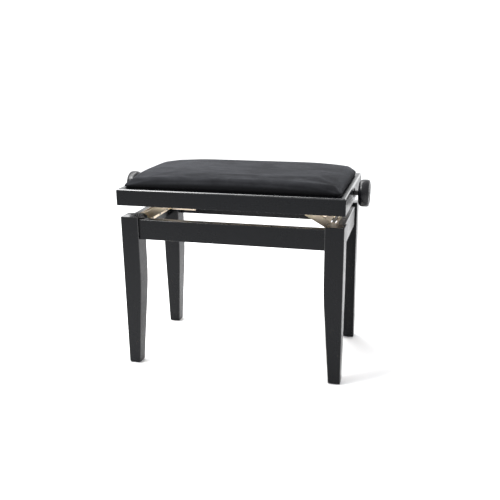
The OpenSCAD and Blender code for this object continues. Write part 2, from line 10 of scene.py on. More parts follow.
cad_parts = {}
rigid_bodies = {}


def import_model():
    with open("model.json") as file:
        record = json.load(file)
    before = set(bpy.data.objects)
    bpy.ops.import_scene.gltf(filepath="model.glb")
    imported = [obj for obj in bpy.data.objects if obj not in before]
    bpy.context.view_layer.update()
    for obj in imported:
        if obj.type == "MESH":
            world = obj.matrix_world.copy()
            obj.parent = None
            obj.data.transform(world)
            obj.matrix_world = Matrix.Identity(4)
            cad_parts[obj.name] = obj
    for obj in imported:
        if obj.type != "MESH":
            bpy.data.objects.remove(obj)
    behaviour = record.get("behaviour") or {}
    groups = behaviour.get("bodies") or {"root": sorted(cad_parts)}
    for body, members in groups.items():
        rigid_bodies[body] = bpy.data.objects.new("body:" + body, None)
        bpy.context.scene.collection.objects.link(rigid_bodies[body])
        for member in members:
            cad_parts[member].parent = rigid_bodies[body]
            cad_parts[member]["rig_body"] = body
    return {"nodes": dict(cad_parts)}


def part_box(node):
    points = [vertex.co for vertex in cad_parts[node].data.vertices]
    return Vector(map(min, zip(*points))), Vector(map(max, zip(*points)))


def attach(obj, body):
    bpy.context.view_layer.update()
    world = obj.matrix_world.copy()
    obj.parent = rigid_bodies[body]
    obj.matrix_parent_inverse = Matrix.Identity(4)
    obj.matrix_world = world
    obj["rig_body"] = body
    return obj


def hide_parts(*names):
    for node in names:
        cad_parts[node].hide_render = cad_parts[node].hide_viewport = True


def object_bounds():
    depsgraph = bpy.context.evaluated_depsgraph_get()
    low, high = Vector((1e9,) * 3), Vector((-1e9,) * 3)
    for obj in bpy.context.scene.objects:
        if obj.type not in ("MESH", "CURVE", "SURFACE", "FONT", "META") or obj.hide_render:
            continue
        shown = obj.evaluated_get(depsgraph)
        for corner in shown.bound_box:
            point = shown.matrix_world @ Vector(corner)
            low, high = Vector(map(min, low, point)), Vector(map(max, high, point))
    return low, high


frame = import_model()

cad_low, cad_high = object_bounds()

MM = 0.001
SIDES = {"left": -1, "right": 1}
ENDS = {"front": -1, "rear": 1}
X, Y, Z = 0, 1, 2

# ---- camera, floor and light ---------------------------------------------------------------

CAMERA_AZIMUTH = math.radians(14.855)
CAMERA_ELEVATION = math.radians(16.52)
CAMERA_ROLL = math.radians(-0.605)
CAMERA_PLACE = Vector((0.440725, -1.620380, 0.772990))
CAMERA_LENS = 48.46


def make_camera():
    """A camera in front, a little to the right of the bench and above it."""
    azimuth, elevation = CAMERA_AZIMUTH, CAMERA_ELEVATION
    back = Vector((
        math.sin(azimuth) * math.cos(elevation),
        -math.cos(azimuth) * math.cos(elevation),
        math.sin(elevation),
    ))
    right = Vector((math.cos(azimuth), math.sin(azimuth), 0))
    up = back.cross(right)
    c, s = math.cos(CAMERA_ROLL), math.sin(CAMERA_ROLL)
    turned_right, turned_up = c * right + s * up, c * up - s * right
    data = bpy.data.cameras.new("camera")
    data.sensor_width, data.lens = 36, CAMERA_LENS
    data.clip_start, data.clip_end = 0.05, 100
    camera = bpy.data.objects.new("camera", data)
    bpy.context.scene.collection.objects.link(camera)
    rotation = Matrix((turned_right, turned_up, back)).transposed()
    camera.matrix_world = Matrix.Translation(CAMERA_PLACE) @ rotation.to_4x4()
    bpy.context.scene.camera = camera


FLOOR_RADIUS = 14
FLOOR_SEGMENTS = 96


def make_floor():
    mesh = bpy.data.meshes.new("floor")
    shape = bmesh.new()
    bmesh.ops.create_circle(shape, cap_ends=True, radius=FLOOR_RADIUS, segments=FLOOR_SEGMENTS)
    shape.to_mesh(mesh)
    shape.free()
    floor = bpy.data.objects.new("floor", mesh)
    bpy.context.scene.collection.objects.link(floor)
    finish = Finish("studio_floor", roughness=0.65, specular=0.2)
    patches = finish.noise(finish.place(), scale=1.3, detail=3)
    finish.colour(finish.blend(patches, (0.93, 0.93, 0.935), (0.96, 0.96, 0.965)))
    mesh.materials.append(finish.material)


def make_light(name, place, target, width, height, power):
    data = bpy.data.lights.new(name, "AREA")
    data.shape, data.size, data.size_y = "RECTANGLE", width, height
    data.energy = power
    light = bpy.data.objects.new(name, data)
    bpy.context.scene.collection.objects.link(light)
    light.location = place
    light.rotation_mode = "QUATERNION"
    light.rotation_quaternion = (Vector(target) - Vector(place)).to_track_quat("-Z", "Y")


FRONT_LEVEL, BACK_LEVEL, TOP_LEVEL = 0.88, 1.75, 1.15
FRONT_TO_BACK = 0.7
TOP_STARTS, TOP_FULL = 0.25, 0.9


def make_world():
    """A white studio all round, brightest behind the bench and dimmer in front of it."""
    world = bpy.data.worlds.new("studio")
    bpy.context.scene.world = world
    world.use_nodes = True
    tree = world.node_tree
    direction = tree.nodes.new("ShaderNodeTexCoord").outputs["Generated"]
    axes = tree.nodes.new("ShaderNodeSeparateXYZ")
    tree.links.new(direction, axes.inputs[0])
    along = tree.nodes.new("ShaderNodeMapRange")
    along.interpolation_type = "SMOOTHSTEP"
    for socket, value in zip(
        along.inputs[1:5], (-FRONT_TO_BACK, FRONT_TO_BACK, FRONT_LEVEL, BACK_LEVEL),
    ):
        socket.default_value = value
    tree.links.new(axes.outputs["Y"], along.inputs[0])
    upward = tree.nodes.new("ShaderNodeMapRange")
    upward.interpolation_type = "SMOOTHSTEP"
    for socket, value in zip(upward.inputs[1:5], (TOP_STARTS, TOP_FULL, 0, 1)):
        socket.default_value = value
    tree.links.new(axes.outputs["Z"], upward.inputs[0])
    level = tree.nodes.new("ShaderNodeMix")
    level.inputs[3].default_value = TOP_LEVEL
    tree.links.new(upward.outputs[0], level.inputs[0])
    tree.links.new(along.outputs[0], level.inputs[2])
    background = tree.nodes["Background"]
    background.inputs["Color"].default_value = (0.985, 0.99, 1, 1)
    tree.links.new(level.outputs[0], background.inputs["Strength"])


def make_studio():
    bpy.context.scene.view_settings.view_transform = "Standard"
    make_camera()
    make_floor()
    make_world()
    middle = (cad_low + cad_high) / 2
    make_light("overhead", (-0.75, 0.30, 2.1), middle, 2.4, 0.75, 60)
    make_light("upper_left", (-1.0, -0.9, 2.0), middle, 0.55, 0.55, 28)


# ---- finishes ------------------------------------------------------------------------------

SHADER_SOCKETS = {
    "roughness": "Roughness", "metallic": "Metallic", "specular": "Specular IOR Level",
    "sheen": "Sheen Weight", "sheen_roughness": "Sheen Roughness", "sheen_tint": "Sheen Tint",
    "coat": "Coat Weight", "coat_roughness": "Coat Roughness", "ior": "IOR",
}


class Finish:
    """A material being wired up: each method adds a node and gives back what comes out of it."""

    def __init__(self, name, **plain):
        self.material = bpy.data.materials.new(name)
        self.material.use_nodes = True
        self.tree = self.material.node_tree
        self.shader = self.tree.nodes["Principled BSDF"]
        for word, value in plain.items():
            self.shader.inputs[SHADER_SOCKETS[word]].default_value = value

    def add(self, kind, inputs, output=0, **settings):
        node = self.tree.nodes.new("ShaderNode" + kind)
        for word, value in settings.items():
            setattr(node, word, value)
        for key, value in inputs.items():
            if isinstance(value, bpy.types.NodeSocket):
                self.tree.links.new(value, node.inputs[key])
            else:
                node.inputs[key].default_value = value
        return node.outputs[output]

    def place(self, scale=(1, 1, 1)):
        """A point's place in the frame, stretched along each axis."""
        return self.add("Mapping", {"Vector": self.add("TexCoord", {}, "Object"), "Scale": scale})

    def noise(self, place, scale, detail=4, roughness=0.55, distortion=0):
        return self.add("TexNoise", {
            "Vector": place, "Scale": scale, "Detail": detail, "Roughness": roughness,
            "Distortion": distortion,
        })

    def cells(self, place, scale, output="Distance", feature="F1"):
        return self.add("TexVoronoi", {"Vector": place, "Scale": scale}, output, feature=feature)

    def spread(self, value, low, high, to_low=0.0, to_high=1.0):
        """Value from low to high, mapped smoothly to to_low to to_high and held there outside."""
        return self.add("MapRange", {
            "Value": value, "From Min": low, "From Max": high, "To Min": to_low, "To Max": to_high,
        }, interpolation_type="SMOOTHSTEP")

    def sum(self, a, b, operation="ADD"):
        return self.add("Math", {0: a, 1: b}, operation=operation)

    def blend(self, share, a, b, kind="MIX"):
        """Colour a where share is 0 and b where it is 1."""
        inputs = {"Factor": share}
        for key, value in ((6, a), (7, b)):
            inputs[key] = value if isinstance(value, bpy.types.NodeSocket) else (*value, 1)
        return self.add("Mix", inputs, 2, data_type="RGBA", blend_type=kind)

    def worn(self):
        """How far a point lies on a rounded edge, as the mesh says."""
        return self.add("Attribute", {}, "Fac", attribute_name="edge")

    def relief(self, *layers):
        """Bumps from (height, distance in metres) pairs, one on the other."""
        normal = None
        for height, distance in layers:
            inputs = {"Height": height, "Distance": distance, "Strength": 1.0}
            if normal is not None:
                inputs["Normal"] = normal
            normal = self.add("Bump", inputs)
        self.tree.links.new(normal, self.shader.inputs["Normal"])

    def colour(self, value):
        self.drive("Base Color", value)

    def roughness(self, value):
        self.drive("Roughness", value)

    def drive(self, socket, value):
        self.tree.links.new(value, self.shader.inputs[socket])


GRAIN_STRETCH = 0.06


def grain_scale(axis):
    """Coordinates squeezed along the grain, so that patterns run long that way."""
    return tuple(GRAIN_STRETCH if i == axis else 1 for i in range(3))


def lacquer(axis):
    """Satin black lacquer over close-grained wood, with the grain along one axis."""
    finish = Finish(
        "black_lacquer_" + "xyz"[axis], ior=1.5, specular=0.15, coat_roughness=0.13,
    )
    along, plain = finish.place(grain_scale(axis)), finish.place()
    grain = finish.noise(along, scale=620, detail=6, roughness=0.62, distortion=0.35)
    pores = finish.spread(finish.noise(along, scale=1500, detail=2), 0.30, 0.42, 1, 0)
    clouds = finish.noise(plain, scale=14, detail=3)
    peel = finish.noise(plain, scale=420, detail=1.5)
    patches = finish.spread(finish.noise(plain, 60), 0.42, 0.66)
    worn = finish.sum(finish.worn(), patches, "MULTIPLY")
    tone = finish.blend(grain, (0.0020, 0.0024, 0.0032), (0.0042, 0.0047, 0.0058))
    finish.colour(finish.blend(worn, tone, (0.022, 0.022, 0.023)))
    satin = finish.spread(clouds, 0.25, 0.75, 0.20, 0.28)
    streaks = finish.sum(grain, 0.06, "MULTIPLY")
    polished = finish.sum(finish.worn(), -0.07, "MULTIPLY")
    finish.roughness(finish.sum(finish.sum(satin, streaks), polished))
    finish.drive("Coat Weight", finish.spread(finish.worn(), 0.0, 0.7, 0.02, 0.95))
    finish.relief((peel, 0.000015), (grain, 0.00002), (pores, -0.00003))
    return finish.material


def beech():
    finish = Finish("beech", roughness=0.55, ior=1.5, specular=0.4)
    along = finish.place(grain_scale(0))
    rings = finish.noise(along, scale=70, detail=3, distortion=0.6)
    flecks = finish.spread(finish.noise(along, 900, detail=2), 0.56, 0.68)
    tone = finish.blend(rings, (0.66, 0.44, 0.25), (0.50, 0.31, 0.16))
    finish.colour(finish.blend(flecks, tone, (0.36, 0.20, 0.10)))
    finish.roughness(finish.spread(rings, 0.3, 0.7, 0.48, 0.62))
    finish.relief((rings, 0.00008), (flecks, -0.00006))
    return finish.material


PLY_SHEETS_PER_METRE = 700


def plywood():
    """Birch plywood: a grained face, with thin sheets of alternating grain at the edges."""
    finish = Finish("plywood", roughness=0.6, ior=1.5, specular=0.35)
    along = finish.place(grain_scale(0))
    figure = finish.noise(along, scale=34, detail=5, roughness=0.6, distortion=1.2)
    pores = finish.spread(finish.noise(along, 1100, detail=2), 0.55, 0.66)
    height = finish.add("SeparateXYZ", {"Vector": finish.place()}, "Z")
    layer = finish.sum(finish.sum(height, PLY_SHEETS_PER_METRE, "MULTIPLY"), 2, "MODULO")
    sheets = finish.sum(layer, 1, "GREATER_THAN")
    facing = finish.add("SeparateXYZ", {"Vector": finish.add("NewGeometry", {}, "Normal")}, "Z")
    on_edge = finish.sum(finish.sum(facing, 0, "ABSOLUTE"), 0.5, "LESS_THAN")
    face = finish.blend(figure, (0.60, 0.45, 0.28), (0.70, 0.56, 0.38))
    face = finish.blend(pores, face, (0.42, 0.29, 0.17))
    edge = finish.blend(sheets, (0.62, 0.47, 0.30), (0.34, 0.22, 0.13))
    finish.colour(finish.blend(on_edge, face, edge))
    finish.roughness(finish.spread(figure, 0.3, 0.7, 0.52, 0.68))
    finish.relief((figure, 0.00006), (pores, -0.00008))
    return finish.material


def yellow_zinc():
    """Zinc plate with a yellow chromate film that shifts between straw, pink and green."""
    finish = Finish("yellow_zinc", metallic=0.9, ior=1.5)
    plain = finish.place()
    film = finish.noise(plain, scale=38, detail=3, distortion=0.8)
    patches = finish.noise(plain, scale=95, detail=4)
    crystals = finish.cells(plain, 900)
    straw = finish.blend(finish.spread(film, 0.3, 0.7), (0.74, 0.62, 0.42), (0.80, 0.66, 0.54))
    tone = finish.blend(finish.spread(patches, 0.58, 0.78), straw, (0.62, 0.66, 0.46))
    spangle = finish.spread(crystals, 0.1, 0.8, 0, 0.18)
    finish.colour(finish.blend(spangle, tone, (0.92, 0.88, 0.78)))
    finish.roughness(finish.spread(patches, 0.25, 0.75, 0.30, 0.46))
    finish.relief((crystals, 0.000012), (finish.noise(plain, 260), 0.00004))
    return finish.material


def zinc(name, level):
    """Zinc plate with fine turning marks, bright or dull by its level."""
    finish = Finish(name, metallic=1.0, ior=1.5)
    plain = finish.place()
    marks = finish.noise(finish.place((8, 1, 1)), scale=600, detail=3)
    cloud = finish.noise(plain, scale=120, detail=3)
    tones = [tuple(share * level * part for part in (0.98, 1, 1.03)) for share in (0.9, 1.2)]
    finish.colour(finish.blend(cloud, *tones))
    finish.roughness(finish.spread(cloud, 0.25, 0.75, 0.30, 0.46))
    finish.relief((marks, 0.00002))
    return finish.material


def black_steel():
    """Oiled black oxide on the spindle."""
    finish = Finish("black_steel", metallic=0.85, ior=1.5)
    plain = finish.place()
    cloud = finish.noise(plain, scale=90, detail=4)
    marks = finish.noise(finish.place((30, 1, 1)), scale=400, detail=2)
    finish.colour(finish.blend(cloud, (0.020, 0.020, 0.022), (0.050, 0.048, 0.046)))
    finish.roughness(finish.spread(cloud, 0.25, 0.75, 0.28, 0.44))
    finish.relief((marks, 0.00002))
    return finish.material


def moulded(name, low, high, base):
    """Moulded black plastic with a fine spark-eroded grain and soft swirls in its gloss."""
    finish = Finish(name, ior=1.49, specular=0.3)
    plain = finish.place()
    grain = finish.noise(plain, scale=2400, detail=2)
    swirl = finish.noise(plain, scale=45, detail=3, distortion=1.5)
    finish.colour(finish.blend(swirl, base, tuple(1.5 * part for part in base)))
    finish.roughness(finish.spread(swirl, 0.25, 0.75, low, high))
    finish.relief((grain, 0.00002))
    return finish.material


def velvet():
    """Short-pile black velvet: soft sheen, patches of brushing in the nap and a fine pile. Its
    colour also holds painted light: lighter towards the left, and lighter only where it faces up.
    """
    finish = Finish(
        "black_velvet", roughness=0.9, ior=1.45, specular=0.12,
        sheen=0.075, sheen_roughness=0.36, sheen_tint=(0.80, 0.83, 0.92, 1),
    )
    plain = finish.place()
    nap = finish.noise(
        finish.place((0.8, 1.5, 1)), scale=13, detail=4, roughness=0.6, distortion=0.9,
    )
    strokes = finish.noise(finish.place((0.35, 2.2, 1)), scale=60, detail=3, distortion=0.4)
    pile = finish.noise(plain, scale=2600, detail=2, roughness=0.7)
    rows = finish.noise(finish.place((1, 0.25, 1)), scale=1500, detail=1)
    nap_and_painted_gradient = finish.sum(finish.sum(nap, 0.8, "MULTIPLY"), finish.sum(strokes, 0.2, "MULTIPLY"))
    # painted light: the colour is made lighter towards the left, as if more light fell from that
    # side
    across = finish.add("SeparateXYZ", {"Vector": plain}, "X")
    nap_and_painted_gradient = finish.sum(nap_and_painted_gradient, finish.sum(across, -0.30, "MULTIPLY"))
    # painted light: the light nap tones are kept to upward-facing parts, so the top reads lit and
    # the sides shaded
    facing = finish.add("SeparateXYZ", {"Vector": finish.add("NewGeometry", {}, "Normal")}, "Z")
    painted_top_light = finish.spread(facing, 0.35, 0.97)
    nap_and_painted_light = finish.sum(finish.spread(nap_and_painted_gradient, 0.20, 0.80), painted_top_light, "MULTIPLY")
    # dark to light tone of the nap, carrying the painted light too
    tone = finish.blend(nap_and_painted_light, (0.0016, 0.0017, 0.0021), (0.025, 0.026, 0.030))
    finish.colour(finish.blend(finish.spread(pile, 0.45, 0.8), tone, (0.0095, 0.0098, 0.0115)))
    finish.roughness(finish.spread(nap_and_painted_light, 0, 1, 0.96, 0.84))
    finish.relief((nap_and_painted_light, 0.0005), (pile, 0.0003), (rows, 0.0001))
    return finish.material


# ---- mesh helpers --------------------------------------------------------------------------

ARC_STEPS = 4


def add_piece(name, mesh, material, slot, *nodes):
    """An object for a mesh, with its finish. It stands for the nodes and rides on their body."""
    piece = bpy.data.objects.new(name, mesh)
    bpy.context.scene.collection.objects.link(piece)
    mesh.materials.clear()
    mesh.materials.append(material)
    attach(piece, frame["nodes"][nodes[0]]["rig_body"])
    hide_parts(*nodes)
    return piece


def new_mesh(name, points, faces):
    mesh = bpy.data.meshes.new(name)
    mesh.from_pydata([tuple(p) for p in points], [], faces)
    shape = bmesh.new()
    shape.from_mesh(mesh)
    bmesh.ops.recalc_face_normals(shape, faces=shape.faces)
    shape.to_mesh(mesh)
    shape.free()
    return mesh


def smooth(piece, angle=32):
    """Smooth shading that stays flat on flat faces and sharp over edges past the angle."""
    piece.data.shade_smooth()
    piece.data.set_sharp_from_angle(angle=math.radians(angle))
    piece.modifiers.new("normals", "WEIGHTED_NORMAL").keep_sharp = True
    return piece


def loft(name, rings, edge_values):
    """A closed mesh through rings of equally many points, with flat ends. edge_values says how
    far each point of a ring lies on a rounded edge."""
    count = len(edge_values)
    faces = []
    for i in range(len(rings) - 1):
        for j in range(count):
            a, b = i * count + j, i * count + (j + 1) % count
            faces.append((a, b, b + count, a + count))
    last = (len(rings) - 1) * count
    faces += [tuple(range(count)), tuple(range(last, last + count))]
    mesh = new_mesh(name, [p for ring in rings for p in ring], faces)
    layer = mesh.attributes.new("edge", "FLOAT", "POINT")
    layer.data.foreach_set("value", edge_values * len(rings))
    return mesh


def rounded_outline(corners):
    """Points and edge values of an outline whose corners all turn by 90 degrees. Each corner is
    (x, y, radius), anticlockwise; a negative radius rounds a corner that turns the other way."""
    points, values = [], []
    count = len(corners)
    for i, (x, y, radius) in enumerate(corners):
        here = Vector((x, y))
        before = (here - Vector(corners[i - 1][:2])).normalized()
        after = (Vector(corners[(i + 1) % count][:2]) - here).normalized()
        size = abs(radius)
        centre = here + size * (after - before)
        for step in range(ARC_STEPS + 1):
            angle = math.pi / 2 * step / ARC_STEPS
            point = centre + size * (math.sin(angle) * before - math.cos(angle) * after)
            points.append((point.x, point.y))
            values.append(math.sin(2 * angle) if radius > 0 else 0.0)
    return points, values


def upper_only(outline, values, height):
    """Edge values of an upright outline, kept above a height and 0 below it."""
    return [value if z > height else 0.0 for (_, z), value in zip(outline, values)]


def arc(centre, radius, start, end, steps=8):
    """Points of an arc in a plane, from one angle to another in degrees."""
    angles = [math.radians(start + (end - start) * i / steps) for i in range(steps + 1)]
    return [
        (centre[0] + radius * math.cos(a), centre[1] + radius * math.sin(a)) for a in angles
    ]


def turned(name, outline, centre, side, segments=128):
    """A closed ring of a mesh, turned about the spindle. The outline is a closed loop of
    (distance outwards along the axis, radius) points."""
    count = len(outline)
    points, faces = [], []
    for step in range(segments):
        angle = 2 * math.pi * step / segments
        for along, radius in outline:
            points.append((
                centre.x + side * along,
                centre.y + radius * math.cos(angle),
                centre.z + radius * math.sin(angle),
            ))
    for step in range(segments):
        a, b = step * count, (step + 1) % segments * count
        for i in range(count):
            k = (i + 1) % count
            faces.append((a + i, a + k, b + k, b + i))
    return new_mesh(name, points, faces)


def applied(piece):
    """The piece's mesh with its modifiers applied, which are then removed."""
    graph = bpy.context.evaluated_depsgraph_get()
    mesh = bpy.data.meshes.new_from_object(piece.evaluated_get(graph), depsgraph=graph)
    piece.modifiers.clear()
    piece.data = mesh
    return mesh


# ---- legs, rails and the seat frame --------------------------------------------------------

LEG_ROUND = 1.6 * MM
END_ROUND = 1.2 * MM
RAIL_ROUND = 1.8 * MM
SAME_PLACE = 0.05 * MM


def leg_levels(node, outer):
    """(height, side) of the leg at each level where its CAD outline turns, from the floor up."""
    reach = {}
    for vertex in frame["nodes"][node].data.vertices:
        x, y, z = vertex.co
        if abs(y - outer.y) < SAME_PLACE:
            level = round(z, 5)
            reach[level] = max(reach.get(level, 0), abs(x - outer.x))
    return sorted(reach.items())


def leg(end, side, material):
    """A tapered leg: square sections with rounded edges through the CAD outline's levels, with
    its outer faces upright and a small round over each end."""
    node = f"leg_{end}_{side}"
    low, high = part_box(node)
    outer = Vector((high.x if SIDES[side] > 0 else low.x, high.y if ENDS[end] > 0 else low.y))
    levels = leg_levels(node, outer)
    (foot, foot_size), (head, head_size) = levels[0], levels[-1]
    rounds = arc((END_ROUND, END_ROUND), END_ROUND, 180, 270, ARC_STEPS)
    sections = [(foot + up, foot_size, inset) for up, inset in rounds]
    sections += [(z, size, 0) for z, size in levels[1:-1]]
    sections += [(head - down, head_size, inset) for down, inset in reversed(rounds)]
    rings = []
    for z, size, inset in sections:
        near, far = inset, size - inset
        outline, values = rounded_outline([
            (near, near, LEG_ROUND), (far, near, LEG_ROUND),
            (far, far, LEG_ROUND), (near, far, LEG_ROUND),
        ])
        rings.append([(outer.x - SIDES[side] * u, outer.y - ENDS[end] * v, z) for u, v in outline])
    mesh = loft(node + "_shape", rings, values)
    return smooth(add_piece(node + "_wood", mesh, material, "black_lacquer", node))


def rail(node, axis, material):
    """A rail with rounded long edges, butting against the legs."""
    low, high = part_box(node)
    across = Y if axis == X else X
    outline, values = rounded_outline([
        (low[across], low.z, RAIL_ROUND), (high[across], low.z, RAIL_ROUND),
        (high[across], high.z, RAIL_ROUND), (low[across], high.z, RAIL_ROUND),
    ])
    values = upper_only(outline, values, (low.z + high.z) / 2)
    rings = []
    for end in (low[axis], high[axis]):
        ring = []
        for u, z in outline:
            point = Vector((0, 0, z))
            point[axis], point[across] = end, u
            ring.append(point)
        rings.append(ring)
    mesh = loft(node + "_shape", rings, values)
    return smooth(add_piece(node + "_wood", mesh, material, "black_lacquer", node))


REBATE_WIDTH = 8 * MM
FRAME_TOP_ROUND = 4.2 * MM
FRAME_LOW_ROUND = 1.5 * MM
FRAME_IN_ROUND = 0.8 * MM
MITRE_GAP = 0.06 * MM
BUSH_SHARE = 9 / 11


def moulding(node, axis, sign, material):
    """One mitred side of the seat frame, along the axis, with its outer face towards sign."""
    low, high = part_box(node)
    across = Y if axis == X else X
    thickness = high[across] - low[across]
    outer = high[across] if sign > 0 else low[across]
    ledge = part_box("seat_board")[0].z
    rebate = thickness - REBATE_WIDTH
    outline, values = rounded_outline([
        (0, low.z, FRAME_LOW_ROUND), (thickness, low.z, FRAME_IN_ROUND),
        (thickness, ledge, FRAME_IN_ROUND / 2), (rebate, ledge, -FRAME_IN_ROUND / 2),
        (rebate, high.z, FRAME_IN_ROUND), (0, high.z, FRAME_TOP_ROUND),
    ])
    values = upper_only(outline, values, (low.z + high.z) / 2)
    rings = []
    for end in (-1, 1):
        ring = []
        for inward, z in outline:
            point = Vector((0, 0, z))
            point[across] = outer - sign * inward
            point[axis] = end * (high[axis] - inward - MITRE_GAP)
            ring.append(point)
        rings.append(ring)
    mesh = loft(node + "_shape", rings, values)
    piece = add_piece(node + "_wood", mesh, material, "black_lacquer", node)
    if axis == Y:
        bore(piece, "spindle_bush_left", thickness)
    return smooth(piece)


def bore(piece, bush, depth):
    """Cuts the hole that the spindle's bush sits in."""
    low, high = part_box(bush)
    flange = (high.z - low.z) / 2
    radius = flange * BUSH_SHARE
    shape = bmesh.new()
    turn = Matrix.Rotation(math.pi / 2, 4, "Y")
    middle = Matrix.Translation((piece.bound_box[0][0] + depth / 2, 0, (low.z + high.z) / 2))
    bmesh.ops.create_cone(
        shape, cap_ends=True, segments=64, radius1=radius, radius2=radius, depth=3 * depth,
        matrix=middle @ turn,
    )
    mesh = bpy.data.meshes.new("bore")
    shape.to_mesh(mesh)
    shape.free()
    cutter = bpy.data.objects.new("bore", mesh)
    bpy.context.scene.collection.objects.link(cutter)
    cut = piece.modifiers.new("bore", "BOOLEAN")
    cut.operation, cut.solver, cut.object = "DIFFERENCE", "EXACT", cutter
    applied(piece)
    bpy.data.objects.remove(cutter)


# ---- sheet steel and hardware --------------------------------------------------------------

WEB_AREA = 800 * MM * MM
FOLD_ROUND_OUTSIDE = 2.6 * MM
FOLD_ROUND_INSIDE = 0.9 * MM


def softened(node, material, slot, width, folded=False):
    """The CAD node's own shape with its edges rounded. The folds of sheet steel are rounded
    more: they are where a side flange meets the wide web."""
    shape = bmesh.new()
    shape.from_mesh(frame["nodes"][node].data)
    bmesh.ops.remove_doubles(shape, verts=shape.verts, dist=2e-6)
    bmesh.ops.dissolve_limit(
        shape, angle_limit=math.radians(0.3), verts=shape.verts, edges=shape.edges,
    )
    if folded:
        for convex, radius in ((True, FOLD_ROUND_OUTSIDE), (False, FOLD_ROUND_INSIDE)):
            folds = [e for e in shape.edges if is_fold(e) and e.is_convex == convex]
            bmesh.ops.bevel(
                shape, geom=folds, offset=radius, segments=4, profile=0.5, affect="EDGES",
                clamp_overlap=True,
            )
    mesh = bpy.data.meshes.new(node + "_shape")
    shape.to_mesh(mesh)
    shape.free()
    stored = mesh.attributes.get("custom_normal")
    if stored:
        mesh.attributes.remove(stored)
    piece = add_piece(node + "_made", mesh, material, slot, node)
    mesh.shade_smooth()
    mesh.set_sharp_from_angle(angle=math.radians(34))
    rounding = piece.modifiers.new("edges", "BEVEL")
    rounding.width, rounding.segments = width, 2
    rounding.limit_method, rounding.angle_limit = "ANGLE", math.radians(40)
    rounding.harden_normals = True
    return piece


def is_fold(edge):
    """Whether an edge is where an upright side flange meets the wide web."""
    if len(edge.link_faces) != 2:
        return False
    flange, web = sorted(edge.link_faces, key=lambda face: -abs(face.normal.y))
    return abs(flange.normal.y) > 0.99 and abs(web.normal.y) < 0.01 and web.calc_area() > WEB_AREA


def refinish(node, material):
    """A CAD node whose own shape stays, in a better finish."""
    thing = frame["nodes"][node]
    if thing.material_slots:
        thing.material_slots[0].material = material
    else:
        thing.data.materials.append(material)


# ---- knobs ---------------------------------------------------------------------------------

HUB_SHARE = 0.33
RIM_ROUND_SHARE = 0.32
EDGE_ROUND_SHARE = 0.15
CAP_RADIUS = 9 * MM
CAP_DEPTH = 5 * MM
SCREW_RADIUS = 2.7 * MM
ROD_CLEARANCE = 0.05 * MM
DISH_EDGE_SHARE = 0.80
DISH_SHARE = 0.41
DISH_STEPS = 12
RIM_STEPS = 14


def knob(side, material):
    """A moulded knob: barrel-shaped rim, ring cut into its inner face, dished outer face."""
    node = "knob_" + side
    low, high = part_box(node)
    rod_low, rod_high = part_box("spindle")
    thickness, radius = high.x - low.x, (high.y - low.y) / 2
    inner_x = low.x if SIDES[side] > 0 else high.x
    rod = (rod_high.z - rod_low.z) / 2 + ROD_CLEARANCE
    rod_end = abs(rod_high.x - abs(inner_x)) + 0.2 * MM
    hub = radius * HUB_SHARE
    rim_round, edge_round = radius * RIM_ROUND_SHARE, radius * EDGE_ROUND_SHARE
    rim = radius - rim_round
    outline = [(0.5 * MM, rod), (0, rod + 0.5 * MM), (0, hub - 0.8 * MM)]
    outline += arc((0.8 * MM, hub - 0.8 * MM), 0.8 * MM, 180, 90, 4)[1:]
    outline += [(1.4 * MM, hub), (2 * MM, hub + 0.6 * MM), (2 * MM, rim - 2.6 * MM)]
    outline += [(1.4 * MM, rim - 2 * MM), (0.6 * MM, rim - 2 * MM), (0, rim - 1.4 * MM)]
    outline += [
        (rim_round * (1 - math.cos(t)), rim + rim_round * math.sin(t) ** 0.9 - 0.3 * MM)
        for t in (math.pi / 2 * step / RIM_STEPS for step in range(1, RIM_STEPS + 1))
    ]
    outline += [(thickness * 0.58, radius), (thickness * 0.78, radius - 0.2 * MM)]
    outline += arc((thickness - edge_round, radius - edge_round - 0.6 * MM), edge_round, 86, 0, 8)
    outline += [
        (thickness, radius * (DISH_EDGE_SHARE + 0.03)),
        (thickness - 0.9 * MM, radius * DISH_EDGE_SHARE),
    ]
    for step in range(1, DISH_STEPS + 1):
        share = step / DISH_STEPS
        depth = (0.9 + 0.9 * math.sin(math.pi * share)) * MM
        outline.append((thickness - depth, radius * (DISH_EDGE_SHARE - DISH_SHARE * share)))
    outline += [
        (thickness, radius * 0.365), (thickness, CAP_RADIUS + 0.5 * MM),
        (thickness - 0.5 * MM, CAP_RADIUS), (thickness - CAP_DEPTH, CAP_RADIUS),
        (thickness - CAP_DEPTH, SCREW_RADIUS), (rod_end, SCREW_RADIUS), (rod_end, rod),
    ]
    centre = Vector((inner_x, 0, (low.z + high.z) / 2))
    mesh = turned(node + "_shape", outline, centre, SIDES[side])
    return smooth(add_piece(node + "_moulding", mesh, material, "knob_plastic", node), 40)


# ---- cushion -------------------------------------------------------------------------------

CUSHION_ROUND = 17.5 * MM
SHOULDER_HEIGHT = 25 * MM
CUSHION_EDGE = 29.5 * MM
CUSHION_CROWN = 4 * MM
CUSHION_SMALLER = 0.2 * MM
CORNER_DROP = 12 * MM
OVERHANG = 3.2 * MM
CORNER_OVERHANG = 4 * MM
FINE_CELLS = 7
SIDE_CELLS = 3
COARSE_CELL = 6 * MM
SIM_FRAMES = 20
SIM_PRESSURE = 4
SIM_SHRINK = 0.004
MOST_SWELL = 2.2 * MM
SWELL_SHARE = 0.4
EVENING_ROUNDS = 4
HELD_ABOVE_BOARD = 2 * MM
COVER_THICKNESS = 1.1 * MM
BOARD_GAP = 0.15 * MM


def grid_lines(half):
    """Places from -half to half: fine cells where the form is rounded, coarser ones between."""
    straight = half - CUSHION_ROUND
    ends = [straight + CUSHION_ROUND * i / FINE_CELLS for i in range(1, FINE_CELLS + 1)]
    cells = round(2 * straight / COARSE_CELL)
    middle = [-straight + 2 * straight * i / cells for i in range(cells + 1)]
    return [-e for e in reversed(ends)] + middle + ends


def eased(share):
    """0 up to share 0 and 1 from share 1, with a smooth rise between."""
    share = max(0.0, min(1.0, share))
    return share * share * (3 - 2 * share)


